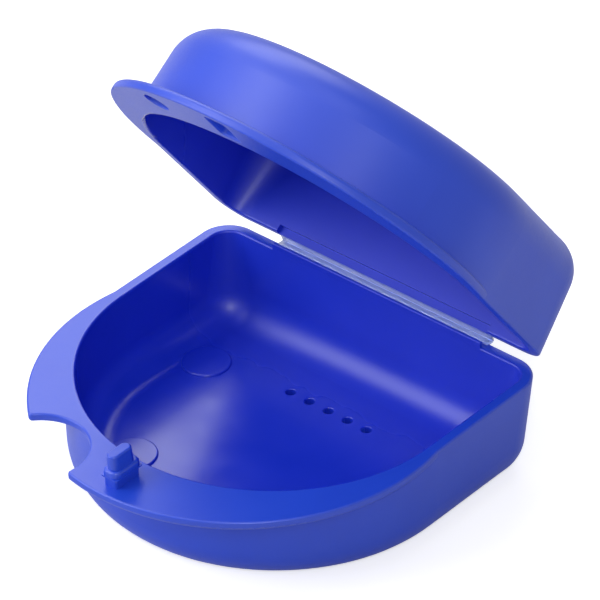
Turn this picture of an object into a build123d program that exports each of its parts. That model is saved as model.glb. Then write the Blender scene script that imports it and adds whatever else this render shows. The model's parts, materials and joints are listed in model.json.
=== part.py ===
from build123d import *
import os
from math import cos, radians, sin, sqrt, tan

# Denture case moulded in one piece: a base and a lid of the same plan, joined by a thin web
# along the back. Millimetres, +X to the right, +Y to the hinge, +Z up.
# The origin is the middle of the base's flat underside. The lid is drawn propped open.

# Plan of both shells, measured outside at the rim
half_width = 41.28  # centre line to the straight side
wall_depth = 73.12  # front of the wall to the back of the wall
shoulder_radius = 38.72  # arc from the front arc to the straight side
shoulder_turn = 53.9  # degrees from the front to where the front arc meets the shoulder arc
rim_corner = 6.5  # back corners at the rim
floor_corner = 11.0  # back corners down at the floor

# Walls
wall = 2.46
floor_thickness = 2.5
base_depth = 21.7
lid_depth = 21.7
base_draft = 1.0  # degrees
lid_draft = 1.6  # degrees
bottom_edge = 8.0  # round between wall and underside, or crown
cavity_edge = 6.5  # round between wall and floor, inside

# Finger flange round the front of both shells
flange_front = 10.02  # how far it stands out from the wall on the centre line
flange_side = 0.76  # how far its arc stands out from the straight sides
flange_thickness = 1.95
flange_sink = 0.3  # how far the flange runs into the wall at the sides
flange_blend = 30.0  # sweep where the flange runs out into the side
face_edge = 0.45  # round on the edges of the mating faces
outer_edge = 0.85  # round on the flange's outward edges

# Finger notch in the base flange
notch_radius = 10.0
notch_x = -18.65
notch_out = 6.64  # from the front of the wall to the notch's centre
notch_tip = 0.8

# Drain holes in the floor of the base
vent_count = 5
vent_diameter = 2.0
vent_pitch = 4.9
vent_y = 19.6
vent_edge = 0.3

# Raised pads on the floor of the base
pad_diameter = 10.1
pad_height = 0.45
pad_edge = 0.3
back_pad_x = 29.2
back_pad_y = 16.4
front_pad_x = 20.3
front_pad_y = -15.4

# Latch stud on the base flange
stud_x = 0.75
neck_width = 3.2
neck_length = 6.6
neck_corner = 0.6
lip_width = 4.2
lip_length = 7.5
lip_thickness = 0.3
lip_corner = 0.6
lip_gap = 0.05  # from the lid flange up to the lips when shut
wall_gap = 0.34  # from the lips to the lid's wall when shut
block_width = 4.0
block_length = 7.4
block_height = 1.7  # from the underside of the lips
block_corner = 1.5
block_edge = 0.65
thumb_width = 2.8  # at the underside of the lips
thumb_length = 6.1
thumb_height = 5.0  # from the underside of the lips
thumb_lean = -0.5  # how far the top lies in front of the foot
thumb_narrowing = 0.4  # of the top against the foot
thumb_edge = 0.4

# Latch slot and eyelet in the lid flange
slot_clearance = 0.25
slot_chamfer = 0.35
eyelet_diameter = 5.2
eyelet_x = -17.8
eyelet_out = 0.54  # from the front of the wall to the eyelet's centre
eyelet_edge = 0.3

# Hinge: a thin web, here as two leaves that meet on the folding line
hinge_half_length = 27.0
hinge_offset = 1.44  # back of the wall to the folding line
web_thickness = 0.35
web_root = 0.8  # how far each leaf is let into its rim
web_gap = 0.03  # from each leaf to the folding line
mating_gap = 0.1  # between the two rims when shut

# Tongue on the back rim of the base, and the pocket in the lid that it goes into
tongue_half_length = 26.6
tongue_thickness = 0.75
tongue_height = 1.3
tongue_edge = 0.2
pocket_clearance = 0.3

# The lid is drawn this far open
open_angle = 52.9

back_y = wall_depth / 2
front_y = -wall_depth / 2
hinge_y = back_y + hinge_offset
hinge_z = base_depth + mating_gap / 2
inner_back_y = back_y - wall
front_radius = shoulder_radius + (half_width - shoulder_radius) / sin(radians(shoulder_turn))
flange_radius = half_width + flange_side
notch_y = front_y - notch_out
eyelet_y = front_y - eyelet_out
lip_height = mating_gap + flange_thickness + lip_gap  # above the base flange
stud_y = front_y - wall_gap - lip_length / 2
hinge_length = 2 * hinge_half_length
leaf_bottom = -web_gap - web_thickness  # from the mating face
pick = 0.01  # how near an edge or corner must lie to be picked by its place
centred = (Align.CENTER, Align.MIN, Align.MIN)
upright = (Align.CENTER, Align.CENTER, Align.MIN)


def plan(inset, corner, z):
    """Closed plan of a shell, drawn in by inset, at height z."""
    turn = radians(shoulder_turn)
    middle = (turn + radians(90)) / 2
    front_r = front_radius - inset
    shoulder_r = shoulder_radius - inset
    front_cy = front_y + front_radius
    shoulder_cx = half_width - shoulder_radius
    shoulder_cy = front_cy - (front_radius - shoulder_radius) * cos(turn)
    side = half_width - inset
    back = back_y - inset
    diagonal = corner * (1 - cos(radians(45)))

    apex = (0, front_cy - front_r, z)
    front_end = (front_r * sin(turn), front_cy - front_r * cos(turn), z)
    shoulder = (shoulder_cx + shoulder_r * sin(middle), shoulder_cy - shoulder_r * cos(middle), z)
    side_start = (side, shoulder_cy, z)
    side_end = (side, back - corner, z)
    corner_middle = (side - diagonal, back - diagonal, z)
    back_end = (side - corner, back, z)

    def left(point):
        return (-point[0], point[1], point[2])

    return Wire(
        [
            ThreePointArc(left(front_end), apex, front_end),
            ThreePointArc(front_end, shoulder, side_start),
            Line(side_start, side_end),
            ThreePointArc(side_end, corner_middle, back_end),
            Line(back_end, left(back_end)),
            ThreePointArc(left(back_end), left(corner_middle), left(side_end)),
            Line(left(side_end), left(side_start)),
            ThreePointArc(left(side_start), left(shoulder), left(front_end)),
        ]
    )


def edges_at(shape, z):
    return shape.edges().filter_by_position(Axis.Z, z - pick, z + pick)


def tapered(inset, corner, low_corner, depth, draft, low_edge):
    """Solid that hangs from z = 0 down to -depth and narrows by the draft."""
    low_inset = inset + depth * tan(radians(draft))
    solid = Solid.make_loft([plan(inset, corner, 0), plan(low_inset, low_corner, -depth)], True)
    return solid.fillet(low_edge, edges_at(solid, -depth))


def corners_on(shape, x, y, radius):
    """Corners of a flat outline that lie on a given circle."""
    centre = Vector(x, y, 0)
    return [v for v in shape.vertices() if abs((Vector(v) - centre).length - radius) < pick]


def flange(notched):
    """Flange plate, its top on z = 0: a wide arc that runs out into the straight sides."""
    centre_y = front_y - flange_front + flange_radius
    side = half_width - flange_sink
    arc_end = centre_y + sqrt(flange_radius**2 - side**2)
    back = back_y - rim_corner
    outline = Wire(
        [
            ThreePointArc((-side, arc_end), (0, centre_y - flange_radius), (side, arc_end)),
            Line((side, arc_end), (side, back)),
            Line((side, back), (-side, back)),
            Line((-side, back), (-side, arc_end)),
        ]
    )
    face = fillet(corners_on(Face(outline), 0, centre_y, flange_radius), flange_blend)
    if notched:
        face -= Pos(notch_x, notch_y) * Circle(notch_radius)
        face = fillet(corners_on(face, notch_x, notch_y, notch_radius), notch_tip)
    plate = extrude(face, -flange_thickness)
    plate = fillet(edges_at(plate, 0), face_edge)
    return fillet(edges_at(plate, -flange_thickness), outer_edge)


def shell(depth, draft, notched):
    """Open bowl with its flange, mating face on z = 0 and floor at -depth."""
    bowl = tapered(0, rim_corner, floor_corner, depth, draft, bottom_edge)
    bowl = fillet(edges_at(bowl, 0), face_edge)
    bowl += flange(notched)
    cavity_depth = depth - floor_thickness
    low_corner = floor_corner - wall
    bowl -= tapered(wall, rim_corner - wall, low_corner, cavity_depth, draft, cavity_edge)
    return bowl


def soften_mouth(bowl):
    """Round the edge between the mating face and the cavity."""
    mouth = plan(wall, rim_corner - wall, 0)
    rim = [edge for edge in edges_at(bowl, 0) if mouth.distance_to(edge @ 0.5) < pick]
    return fillet(rim, face_edge)


def rim_root():
    """Shallow rebate in the back of a rim that a web leaf is let into."""
    slab = Box(hinge_length, web_root + hinge_offset, web_gap + 2 * web_thickness, align=centred)
    return Pos(0, back_y - web_root, leaf_bottom) * slab


def web_leaf():
    """Half of the web, from its rebate to the folding line."""
    leaf = Box(hinge_length, web_root + hinge_offset - web_gap, web_thickness, align=centred)
    return Pos(0, back_y - web_root, leaf_bottom) * leaf


def opened(shape):
    """Turn a shell drawn like the base over on to it, then swing it open."""
    shut = Pos(0, 0, base_depth + mating_gap) * mirror(shape, Plane.XY)
    axis = Axis((0, hinge_y, hinge_z), (-1, 0, 0))
    return shut.rotate(axis, open_angle)


def lead_in(shape, spots, radius, z, edge):
    """Round the mouths of the holes at the given spots in the face at height z."""
    mouths = []
    for ring in edges_at(shape, z).filter_by(GeomType.CIRCLE):
        for x, y in spots:
            offset = (ring.arc_center - Vector(x, y, z)).length
            if offset < pick and abs(ring.radius - radius) < pick:
                mouths.append(ring)
    return fillet(mouths, edge)


# Base shell, drawn hanging from z = 0 and lifted on to its underside at the end
base = soften_mouth(shell(base_depth, base_draft, True))
floor_z = floor_thickness - base_depth
tongue_root = 2 * face_edge
tongue = Box(2 * tongue_half_length, tongue_thickness, tongue_root + tongue_height, align=centred)
tongue = fillet(edges_at(tongue, tongue_root + tongue_height), tongue_edge)
base += Pos(0, inner_back_y, -tongue_root) * tongue
base -= rim_root()
vent_spots = [((i - (vent_count - 1) / 2) * vent_pitch, vent_y) for i in range(vent_count)]
for x, y in vent_spots:
    base -= Pos(x, y, -base_depth) * Cylinder(vent_diameter / 2, 3 * floor_thickness)
base = lead_in(base, vent_spots, vent_diameter / 2, floor_z, vent_edge)

# Floor pads, trimmed where the floor starts to rise into the wall
pads = []
for side in (-1, 1):
    for x, y in ((back_pad_x, back_pad_y), (front_pad_x, front_pad_y)):
        pad = Cylinder(pad_diameter / 2, pad_height, align=upright)
        pad = fillet(edges_at(pad, pad_height), pad_edge)
        pads.append((Pos(side * x, y, floor_z) * pad - base).solid())
floor_pads = Compound(children=pads)

# Latch stud: neck, lips all round, block and thumb boss
neck = extrude(RectangleRounded(neck_width, neck_length, neck_corner), lip_height)
lips = extrude(RectangleRounded(lip_width, lip_length, lip_corner), lip_thickness)
block = extrude(RectangleRounded(block_width, block_length, block_corner), block_height)
block = fillet(edges_at(block, block_height), block_edge)
thumb_foot = SlotOverall(thumb_length, thumb_width, rotation=90)
thumb_top = SlotOverall(thumb_length - thumb_narrowing, thumb_width - thumb_narrowing, rotation=90)
thumb = loft([thumb_foot, Pos(0, thumb_lean, thumb_height) * thumb_top], ruled=True)
thumb = fillet(edges_at(thumb, thumb_height), thumb_edge)
latch_stud = neck + Pos(0, 0, lip_height) * (lips + block + thumb)
latch_stud = Pos(stud_x, stud_y, base_depth) * latch_stud

# Lid shell
lid = soften_mouth(shell(lid_depth, lid_draft, False))
slot_width = lip_width + 2 * slot_clearance
slot_length = lip_length + 2 * slot_clearance
slot_face = RectangleRounded(slot_width, slot_length, lip_corner + slot_clearance)
slot = extrude(slot_face, -2 * flange_thickness)
slot += Pos(0, 0, -slot_chamfer) * extrude(slot_face, slot_chamfer, taper=-45)
lid -= Pos(stud_x, stud_y, 0) * slot
eyelet = Cylinder(eyelet_diameter / 2, 4 * flange_thickness)
lid -= Pos(eyelet_x, eyelet_y, 0) * eyelet
eyelet_spot = [(eyelet_x, eyelet_y)]
for z in (0, -flange_thickness):
    lid = lead_in(lid, eyelet_spot, eyelet_diameter / 2, z, eyelet_edge)
pocket_length = 2 * (tongue_half_length + pocket_clearance)
pocket_depth = tongue_thickness + pocket_clearance
pocket_height = tongue_height + pocket_clearance
pocket = Box(pocket_length, 2 * pocket_depth, 2 * pocket_height)
lid -= Pos(0, inner_back_y, 0) * pocket
lid -= rim_root()

nodes = {
    "base_shell": Pos(0, 0, base_depth) * base,
    "floor_pads": Pos(0, 0, base_depth) * floor_pads,
    "latch_stud": latch_stud,
    "hinge_web_base": Pos(0, 0, base_depth) * web_leaf(),
    "lid_shell": opened(lid),
    "hinge_web_lid": opened(web_leaf()),
}
os.makedirs("parts", exist_ok=True)
for name, shape in nodes.items():
    export_step(shape, "parts/" + name + ".step")
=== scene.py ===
import json
from math import cos, pi, radians, sin, tan

import bpy
from mathutils import Euler, Matrix, Vector


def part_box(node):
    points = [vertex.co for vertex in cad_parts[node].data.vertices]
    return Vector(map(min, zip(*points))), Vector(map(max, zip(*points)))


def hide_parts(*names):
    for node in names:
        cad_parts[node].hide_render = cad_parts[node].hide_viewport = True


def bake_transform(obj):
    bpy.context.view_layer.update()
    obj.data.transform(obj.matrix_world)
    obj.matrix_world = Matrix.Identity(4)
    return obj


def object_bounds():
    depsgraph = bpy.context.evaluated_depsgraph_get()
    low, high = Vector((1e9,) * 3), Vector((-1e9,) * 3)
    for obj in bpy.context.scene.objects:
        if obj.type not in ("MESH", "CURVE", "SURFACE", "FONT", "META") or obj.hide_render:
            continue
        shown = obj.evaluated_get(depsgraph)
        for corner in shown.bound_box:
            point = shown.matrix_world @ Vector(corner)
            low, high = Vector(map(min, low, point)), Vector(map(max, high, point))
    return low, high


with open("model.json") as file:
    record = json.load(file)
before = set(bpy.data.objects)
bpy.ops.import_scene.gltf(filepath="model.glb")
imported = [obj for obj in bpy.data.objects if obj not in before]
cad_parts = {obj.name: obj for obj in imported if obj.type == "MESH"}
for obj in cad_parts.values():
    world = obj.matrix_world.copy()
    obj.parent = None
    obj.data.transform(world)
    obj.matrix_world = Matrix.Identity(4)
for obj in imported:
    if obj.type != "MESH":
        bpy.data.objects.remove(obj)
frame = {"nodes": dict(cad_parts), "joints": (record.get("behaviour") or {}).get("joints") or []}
cad_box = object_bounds()
nodes = frame["nodes"]
joint = frame["joints"][0]

MM = 0.001

# Camera, matched to the photograph. Metres, degrees, and millimetres of lens and sensor.
CAMERA_PLACE = (0.5975701, -0.6643498, 0.6812379)
CAMERA_AZIMUTH = 41.46495
CAMERA_ELEVATION = 35.66741
CAMERA_ROLL = -1.31164
CAMERA_LENS = 345.957
CAMERA_SENSOR = 36.0

# The lid as it stands in the frame, and the middle of the base's mouth
OPEN_ANGLE = radians(-joint["range_deg"][0])
AXIS_Y = joint["pos_m"][1]
AXIS_Z = joint["pos_m"][2]
BASE_MOUTH = (0.0, 0.0, AXIS_Z)


def on_lid(x, y, below_rim):
    """Point of the lid, given as it lies in the base's plan with the case shut."""
    y_off = y - AXIS_Y
    z_off = below_rim
    c, s = cos(OPEN_ANGLE), sin(OPEN_ANGLE)
    return Vector((x, AXIS_Y + y_off * c + z_off * s, AXIS_Z - y_off * s + z_off * c))


# ---------------------------------------------------------------- node trees


def new_tree(name):
    """Material with an empty node tree, and its output node."""
    material = bpy.data.materials.new(name)
    material.use_nodes = True
    tree = material.node_tree
    tree.nodes.clear()
    return material, tree, tree.nodes.new("ShaderNodeOutputMaterial")


def node(tree, kind, inputs=None, **settings):
    """New shader node with its settings and its inputs, which are values or sockets."""
    made = tree.nodes.new("ShaderNode" + kind)
    for key, value in settings.items():
        setattr(made, key, value)
    for key, value in (inputs or {}).items():
        if isinstance(value, bpy.types.NodeSocket):
            tree.links.new(value, made.inputs[key])
        else:
            made.inputs[key].default_value = value
    return made


def noise(tree, place, scale, detail=2.0):
    texture = node(tree, "TexNoise", {"Vector": place, "Scale": scale, "Detail": detail})
    return texture.outputs["Fac"]


def ramp(tree, value, low, high, to_low=0.0, to_high=1.0):
    """Smooth step of a value between two levels."""
    inputs = {"Value": value, "From Min": low, "From Max": high, "To Min": to_low, "To Max": to_high}
    return node(tree, "MapRange", inputs, interpolation_type="SMOOTHSTEP").outputs["Result"]


def blend_values(tree, share, a, b):
    """a where share is 0 and b where it is 1."""
    mix = node(tree, "Mix", {0: share, 2: a, 3: b}, data_type="FLOAT")
    return mix.outputs[0]


def blend_colours(tree, share, a, b):
    mix = node(tree, "Mix", {0: share, 6: a, 7: b}, data_type="RGBA")
    return mix.outputs[2]


def facing(tree, place, normal, target):
    """How far the surface faces a fixed point, from -1 to 1."""
    away = node(tree, "VectorMath", {0: target, 1: place}, operation="SUBTRACT")
    unit = node(tree, "VectorMath", {0: away.outputs["Vector"]}, operation="NORMALIZE")
    dot = node(tree, "VectorMath", {0: unit.outputs["Vector"], 1: normal}, operation="DOT_PRODUCT")
    return dot.outputs["Value"]


# ---------------------------------------------------------------- materials

# Colours from the deeper to the paler clouds in the plastic; the inner blues, darker and less green
# than the outer, are painted shade for the inside of the shells
OUTER_BLUE = (0.012, 0.062, 0.64, 1)
OUTER_BLUE_PALE = (0.014, 0.068, 0.67, 1)
SHADED_INNER_BLUE = (0.010, 0.036, 0.60, 1)
SHADED_INNER_BLUE_PALE = (0.013, 0.041, 0.64, 1)
WEB_BLUE = (0.34, 0.45, 0.98, 1)
WEB_BLUE_PALE = (0.46, 0.57, 1.0, 1)
PAPER = (0.80, 0.80, 0.80, 1)
PAPER_PALE = (0.84, 0.84, 0.84, 1)
WHITE = (1, 1, 1, 1)

POLYPROPYLENE_IOR = 1.49
NOISE_LOW, NOISE_HIGH = 0.3, 0.7  # most of a noise texture's values lie between these
MOUTH_LOW, MOUTH_HIGH = 0.02, 0.12  # how squarely the inside starts to face the mouth

# Roughness, from the smoothest to the roughest spots
SATIN = (0.34, 0.40)
POLISHED = (0.20, 0.26)
BACK_ROUGHNESS = 0.42  # inside, along the back wall
BACK_BAND = (20 * MM, 28 * MM)  # where the polish turns into it, along Y


def case_plastic(name, mouth):
    """Moulded polypropylene: polished on the side that faces the mouth of the shell, satin outside;
    that side is also painted a darker blue as shade.
    """
    material, tree, output = new_tree(name)
    coords = node(tree, "TexCoord")
    place = coords.outputs["Object"]
    towards_mouth = facing(tree, place, coords.outputs["Normal"], mouth)
    inside = ramp(tree, towards_mouth, MOUTH_LOW, MOUTH_HIGH)

    cloud = noise(tree, place, 60.0)
    grain = noise(tree, place, 2600.0, 3.0)
    waves = noise(tree, place, 140.0)

    shade = ramp(tree, cloud, NOISE_LOW, NOISE_HIGH)
    outer = blend_colours(tree, shade, OUTER_BLUE, OUTER_BLUE_PALE)
    # Painted shade: the side that faces the mouth gets the darker inner blue
    inner = blend_colours(tree, shade, SHADED_INNER_BLUE, SHADED_INNER_BLUE_PALE)
    colour = blend_colours(tree, inside, outer, inner)
    satin = ramp(tree, grain, NOISE_LOW, NOISE_HIGH, *SATIN)
    polished = ramp(tree, waves, NOISE_LOW, NOISE_HIGH, *POLISHED)
    along = node(tree, "SeparateXYZ", {0: place}).outputs["Y"]
    polished = blend_values(tree, ramp(tree, along, *BACK_BAND), polished, BACK_ROUGHNESS)
    roughness = blend_values(tree, inside, satin, polished)

    grain_bump = node(tree, "Bump", {"Height": grain, "Strength": 0.05, "Distance": 0.0001})
    bump = node(
        tree,
        "Bump",
        {
            "Height": waves,
            "Strength": 0.10,
            "Distance": 0.0003,
            "Normal": grain_bump.outputs["Normal"],
        },
    )
    shader = node(
        tree,
        "BsdfPrincipled",
        {
            "Base Color": colour,
            "Roughness": roughness,
            "Normal": bump.outputs["Normal"],
            "IOR": POLYPROPYLENE_IOR,
            "Specular IOR Level": 0.75,
        },
    )
    tree.links.new(shader.outputs["BSDF"], output.inputs["Surface"])
    return material


def web_plastic():
    """The same plastic, thin enough to let light through."""
    material, tree, output = new_tree("web_plastic")
    place = node(tree, "TexCoord").outputs["Object"]
    streaks = node(tree, "Mapping", {"Vector": place, "Scale": (300.0, 3000.0, 3000.0)})
    lines = noise(tree, streaks.outputs["Vector"], 1.0)
    colour = blend_colours(tree, lines, WEB_BLUE, WEB_BLUE_PALE)
    bump = node(tree, "Bump", {"Height": lines, "Strength": 0.1, "Distance": 0.0001})
    shader = node(
        tree,
        "BsdfPrincipled",
        {
            "Base Color": colour,
            "Roughness": 0.35,
            "Normal": bump.outputs["Normal"],
            "IOR": POLYPROPYLENE_IOR,
            "Transmission Weight": 0.6,
        },
    )
    tree.links.new(shader.outputs["BSDF"], output.inputs["Surface"])
    return material


def dress(name, material):
    """Give a carried-over solid its material, on the object and not on its mesh."""
    obj = nodes[name]
    if not obj.material_slots:
        obj.data.materials.append(material)
    for slot in obj.material_slots:
        slot.link = "OBJECT"
        slot.material = material


lid_mouth = tuple(on_lid(0.0, 0.0, 0.0))
mouths = {
    "base_shell": BASE_MOUTH,
    "floor_pads": BASE_MOUTH,
    "latch_stud": BASE_MOUTH,
    "lid_shell": lid_mouth,
}
for name, mouth in mouths.items():
    dress(name, case_plastic("case_plastic_" + name, mouth))


# ---------------------------------------------------------------- hinge web

WEB_BEND = 0.55 * MM  # radius of the middle of the web
WEB_THINNING = 0.25  # how much thinner the web is half-way round, as a share
WEB_STEPS = 36  # along its length
BEND_STEPS = 20


def web_line():
    """Middle line of the web in the YZ plane, from the base's rim to the lid's, and its directions."""
    low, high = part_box("hinge_web_base")
    root = Vector((0.0, low.y, (low.z + high.z) / 2))
    fold = Vector((0.0, AXIS_Y, root.z))
    drop = AXIS_Z - root.z
    lid_root = on_lid(0.0, low.y, drop)
    lid_fold = on_lid(0.0, AXIS_Y, drop)
    a_dir = (fold - root).normalized()
    b_dir = (lid_root - lid_fold).normalized()
    # the two middle lines meet here
    cross = a_dir.y * b_dir.z - a_dir.z * b_dir.y
    gap = lid_root - root
    along = (gap.y * b_dir.z - gap.z * b_dir.y) / cross
    corner = root + a_dir * along
    half = a_dir.angle(-b_dir) / 2
    inner = (-a_dir).angle(b_dir) / 2
    tangent = WEB_BEND / tan(inner)
    centre = corner + (b_dir - a_dir).normalized() * (WEB_BEND / sin(inner))
    start = corner - a_dir * tangent
    line = [root, (root + start) / 2]
    arm = start - centre
    for i in range(BEND_STEPS + 1):
        turn = Matrix.Rotation(2 * half * i / BEND_STEPS, 3, "X")
        line.append(centre + turn @ arm)
    end = corner + b_dir * tangent
    line += [(end + lid_root) / 2, lid_root]
    return line


def make_web():
    """The bent web, in place of its two flat leaves."""
    low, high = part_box("hinge_web_base")
    line = web_line()
    thick = high.z - low.z
    sides = []
    total = sum((b - a).length for a, b in zip(line, line[1:]))
    run = 0.0
    for i, point in enumerate(line):
        before = line[max(i - 1, 0)]
        after = line[min(i + 1, len(line) - 1)]
        direction = (after - before).normalized()
        side = Vector((0.0, -direction.z, direction.y))
        if i:
            run += (point - line[i - 1]).length
        share = run / total
        half = thick / 2 * (1.0 - WEB_THINNING * sin(pi * share) ** 2)
        sides.append((point + side * half, point - side * half))
    ring = [a for a, b in sides] + [b for a, b in reversed(sides)]
    verts = []
    for k in range(WEB_STEPS + 1):
        x = low.x + (high.x - low.x) * k / WEB_STEPS
        for p in ring:
            verts.append((x, p.y, p.z))
    n = len(ring)
    faces = []
    for k in range(WEB_STEPS):
        for j in range(n):
            a = k * n + j
            b = k * n + (j + 1) % n
            faces.append((a, b, b + n, a + n))
    faces.append(tuple(reversed(range(n))))
    faces.append(tuple(range(WEB_STEPS * n, WEB_STEPS * n + n)))
    mesh = bpy.data.meshes.new("hinge_web")
    mesh.from_pydata(verts, [], faces)
    mesh.validate()
    for polygon in mesh.polygons:
        polygon.use_smooth = True
    web = bpy.data.objects.new("hinge_web", mesh)
    bpy.context.scene.collection.objects.link(web)
    web.data.materials.append(web_plastic())
    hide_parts("hinge_web_base", "hinge_web_lid")
    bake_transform(web)


make_web()


# ---------------------------------------------------------------- camera and light

WORLD_LIGHT = 0.20  # on surfaces
WORLD_SHEEN = 0.65  # as seen in them
PAPER_LIFT = 0.6  # brings the floor to white for the camera
FLOOR_HALF_SIDE = 4.0
FLOOR_GAP = 0.05 * MM  # from the object down to the floor
LAMP_DISTANCE = 0.9

# Name, azimuth and elevation in degrees, width and height in metres, watts
LAMPS = (
    ("lamp_front_left", -42, 32, 0.6, 0.9, 5.6),
    ("lamp_left", -95, 48, 0.6, 0.7, 1.2),
    ("lamp_back_left", -137, 38, 0.6, 0.6, 2.6),
    ("lamp_front_right", 44, 38, 0.14, 0.24, 2.0),
    ("lamp_top", 0, 85, 0.6, 0.6, 1.0),
)


def add_camera():
    """Camera at its matched place, turned by its azimuth, elevation and roll."""
    data = bpy.data.cameras.new("camera")
    data.sensor_width = CAMERA_SENSOR
    data.lens = CAMERA_LENS
    data.clip_start = 0.1
    data.clip_end = 20.0
    camera = bpy.data.objects.new("camera", data)
    bpy.context.scene.collection.objects.link(camera)
    turn = Euler((radians(90 - CAMERA_ELEVATION), 0.0, radians(CAMERA_AZIMUTH))).to_matrix()
    turn = turn @ Matrix.Rotation(radians(CAMERA_ROLL), 3, "Z")
    camera.matrix_world = Matrix.Translation(CAMERA_PLACE) @ turn.to_4x4()
    bpy.context.scene.camera = camera


def softbox(name, azimuth, elevation, width, height, watts):
    """Rectangular lamp aimed at the middle of the object. Azimuth 0 is in front, 90 on the right."""
    data = bpy.data.lights.new(name, "AREA")
    data.shape = "RECTANGLE"
    data.size = width
    data.size_y = height
    data.energy = watts
    lamp = bpy.data.objects.new(name, data)
    bpy.context.scene.collection.objects.link(lamp)
    a, e = radians(azimuth), radians(elevation)
    away = Vector((sin(a) * cos(e), -cos(a) * cos(e), sin(e)))
    middle = (cad_box[0] + cad_box[1]) / 2
    lamp.location = middle + away * LAMP_DISTANCE
    lamp.rotation_euler = (-away).to_track_quat("-Z", "Y").to_euler()
    lamp.visible_camera = False


def add_floor():
    """Pale paper that keeps the object's shadow."""
    side = FLOOR_HALF_SIDE
    mesh = bpy.data.meshes.new("floor")
    corners = [(-side, -side, 0), (side, -side, 0), (side, side, 0), (-side, side, 0)]
    mesh.from_pydata(corners, [], [(0, 1, 2, 3)])
    floor = bpy.data.objects.new("floor", mesh)
    bpy.context.scene.collection.objects.link(floor)
    floor.location.z = cad_box[0].z - FLOOR_GAP
    material, tree, output = new_tree("floor_paper")
    place = node(tree, "TexCoord").outputs["Object"]
    tooth = noise(tree, place, 400.0, 3.0)
    colour = blend_colours(tree, tooth, PAPER, PAPER_PALE)
    paper = node(tree, "BsdfDiffuse", {"Color": colour, "Roughness": 0.5})
    rays = node(tree, "LightPath")
    seen_or_passed = {0: rays.outputs["Is Camera Ray"], 1: rays.outputs["Is Transmission Ray"]}
    seen = node(tree, "Math", seen_or_passed, operation="MAXIMUM")
    lift = node(tree, "Emission", {"Color": WHITE, "Strength": PAPER_LIFT})
    nothing = node(tree, "Emission", {"Strength": 0.0})
    share = node(tree, "MixShader", {0: seen.outputs[0], 1: nothing.outputs[0], 2: lift.outputs[0]})
    both = node(tree, "AddShader", {0: paper.outputs[0], 1: share.outputs[0]})
    tree.links.new(both.outputs[0], output.inputs["Surface"])
    mesh.materials.append(material)


def add_world():
    """White for the camera, dimmer in reflections and dimmest as light."""
    world = bpy.data.worlds.new("studio")
    bpy.context.scene.world = world
    world.use_nodes = True
    tree = world.node_tree
    tree.nodes.clear()
    rays = node(tree, "LightPath")
    light = node(tree, "Background", {"Color": WHITE, "Strength": WORLD_LIGHT})
    sheen = node(tree, "Background", {"Color": WHITE, "Strength": WORLD_SHEEN})
    seen = node(tree, "Background", {"Color": WHITE, "Strength": 1.0})
    on_glossy = {0: rays.outputs["Is Glossy Ray"], 1: light.outputs[0], 2: sheen.outputs[0]}
    mix = node(tree, "MixShader", on_glossy)
    on_camera = {0: rays.outputs["Is Camera Ray"], 1: mix.outputs[0], 2: seen.outputs[0]}
    mix = node(tree, "MixShader", on_camera)
    output = node(tree, "OutputWorld")
    tree.links.new(mix.outputs[0], output.inputs["Surface"])


add_camera()
add_floor()
add_world()
for lamp in LAMPS:
    softbox(*lamp)
bpy.context.scene.view_settings.view_transform = "Standard"
